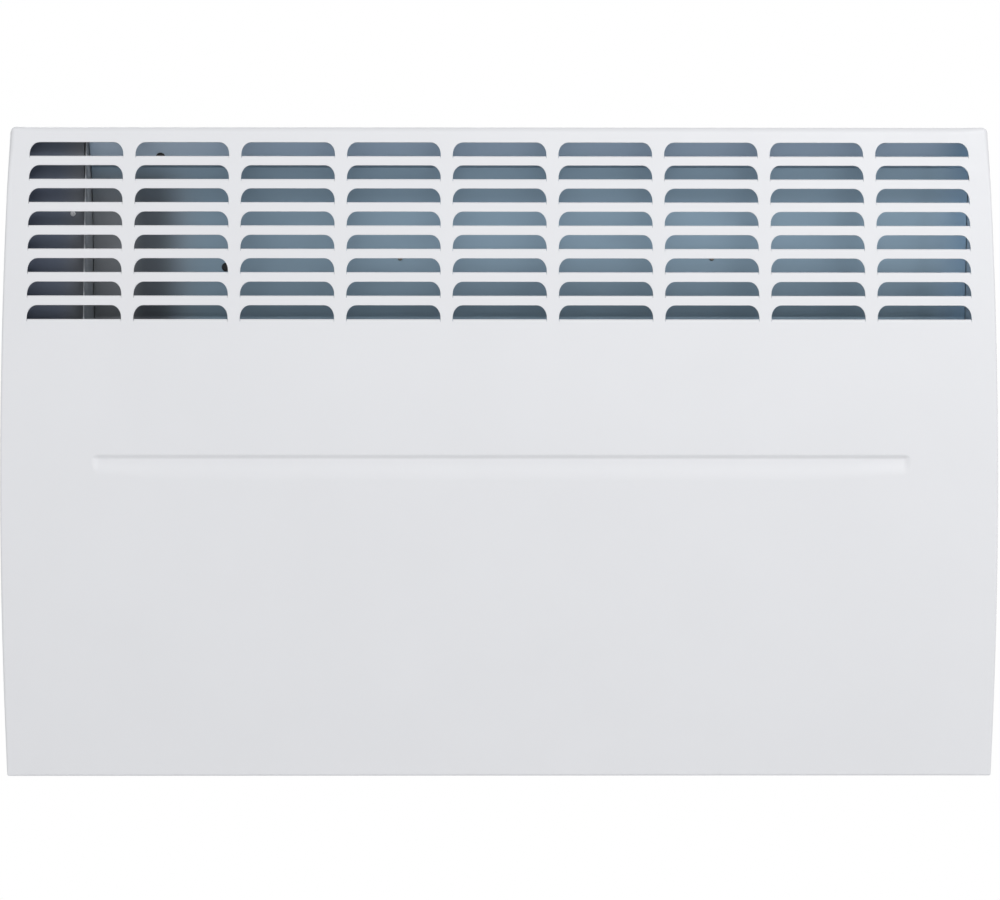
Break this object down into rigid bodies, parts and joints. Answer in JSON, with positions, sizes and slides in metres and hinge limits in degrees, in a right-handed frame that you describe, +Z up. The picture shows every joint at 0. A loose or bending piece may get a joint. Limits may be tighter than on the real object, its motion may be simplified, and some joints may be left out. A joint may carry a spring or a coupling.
{
  "type": "wall panel convector heater",
  "caption": "Wall-hung panel convector with a curved white louvred steel cover, finned element, side thermostat and switch, and a hook-on wall bracket with quarter-turn locks.",
  "frame": {"origin": "centre of the four wall fixing holes, on the wall plane, at the heater's mid-height", "axes": "+X to the right as seen from the room, +Y into the wall (the front faces -Y), +Z up"},
  "size_m": [0.678, 0.098, 0.443],
  "materials": {
    "white_enamel": "satin",
    "galvanised_steel": "dull spangle",
    "bracket_zinc": "satin",
    "screw_zinc": "bright",
    "white_screw": "satin",
    "black_moulding": "fine grain",
    "grey_moulding": "fine grain",
    "white_moulding": "satin",
    "fin_aluminium": "extruded",
    "sheath_steel": "heat-tinted",
    "plated_brass": "satin",
    "copper": "satin",
    "silicone": "matt",
    "black_rubber": "matt",
    "natural_nylon": "satin",
    "brown_insulation": "satin",
    "blue_insulation": "satin",
    "green_yellow_insulation": "satin",
    "red_lens": "clear red",
    "lamp_glass": "clear"
  },
  "bodies": {
    "casing": {"front_cover": "white_enamel", "rear_casing": "white_enamel", "wall_buffers": "black_rubber", "wall_bracket": "bracket_zinc", "control_partition": "galvanised_steel", "duct_end_plate": "galvanised_steel", "air_deflector": "galvanised_steel", "heat_shield": "galvanised_steel", "element_fin_body": "fin_aluminium", "element_heater_rod": "sheath_steel", "element_terminals": "plated_brass", "element_end_seals": "silicone", "element_bushes": "silicone", "element_bracket_left": "galvanised_steel", "element_bracket_right": "galvanised_steel", "limiter_body": "black_moulding", "control_box": "black_moulding", "control_fascia": "white_moulding", "thermostat_body": "grey_moulding", "switch_body": "black_moulding", "indicator_lens": "red_lens", "indicator_lamp": "lamp_glass", "cord_gland": "black_moulding", "terminal_block": "natural_nylon", "earth_wire": "green_yellow_insulation", "sensor_bulb": "copper", "sensor_capillary": "copper", "sensor_clips": "natural_nylon", "live_wires": "brown_insulation", "neutral_wire": "blue_insulation"},
    "knob": {"thermostat_knob": "grey_moulding", "thermostat_spindle": "plated_brass"},
    "rocker": {"switch_rocker": "grey_moulding"},
    "lock_left": {"lock_left": "white_moulding"},
    "lock_right": {"lock_right": "white_moulding"}
  },
  "joints": [
    {"name": "thermostat_turn", "type": "hinge", "parent": "casing", "child": "knob", "pos_m": [-0.333, -0.05, 0.1222], "axis": [-1, 0, 0], "range_deg": [0, 285]},
    {"name": "switch_rock", "type": "hinge", "parent": "casing", "child": "rocker", "pos_m": [-0.33406, -0.05, 0.1822], "axis": [0, -1, 0], "range_deg": [0, 18]},
    {"name": "lock_left_turn", "type": "hinge", "parent": "casing", "child": "lock_left", "pos_m": [-0.12, -0.009, 0.1195], "axis": [0, 0, 1], "range_deg": [0, 90]},
    {"name": "lock_right_turn", "type": "hinge", "parent": "casing", "child": "lock_right", "pos_m": [0.12, -0.009, 0.1195], "axis": [0, 0, -1], "range_deg": [0, 90]}
  ]
}
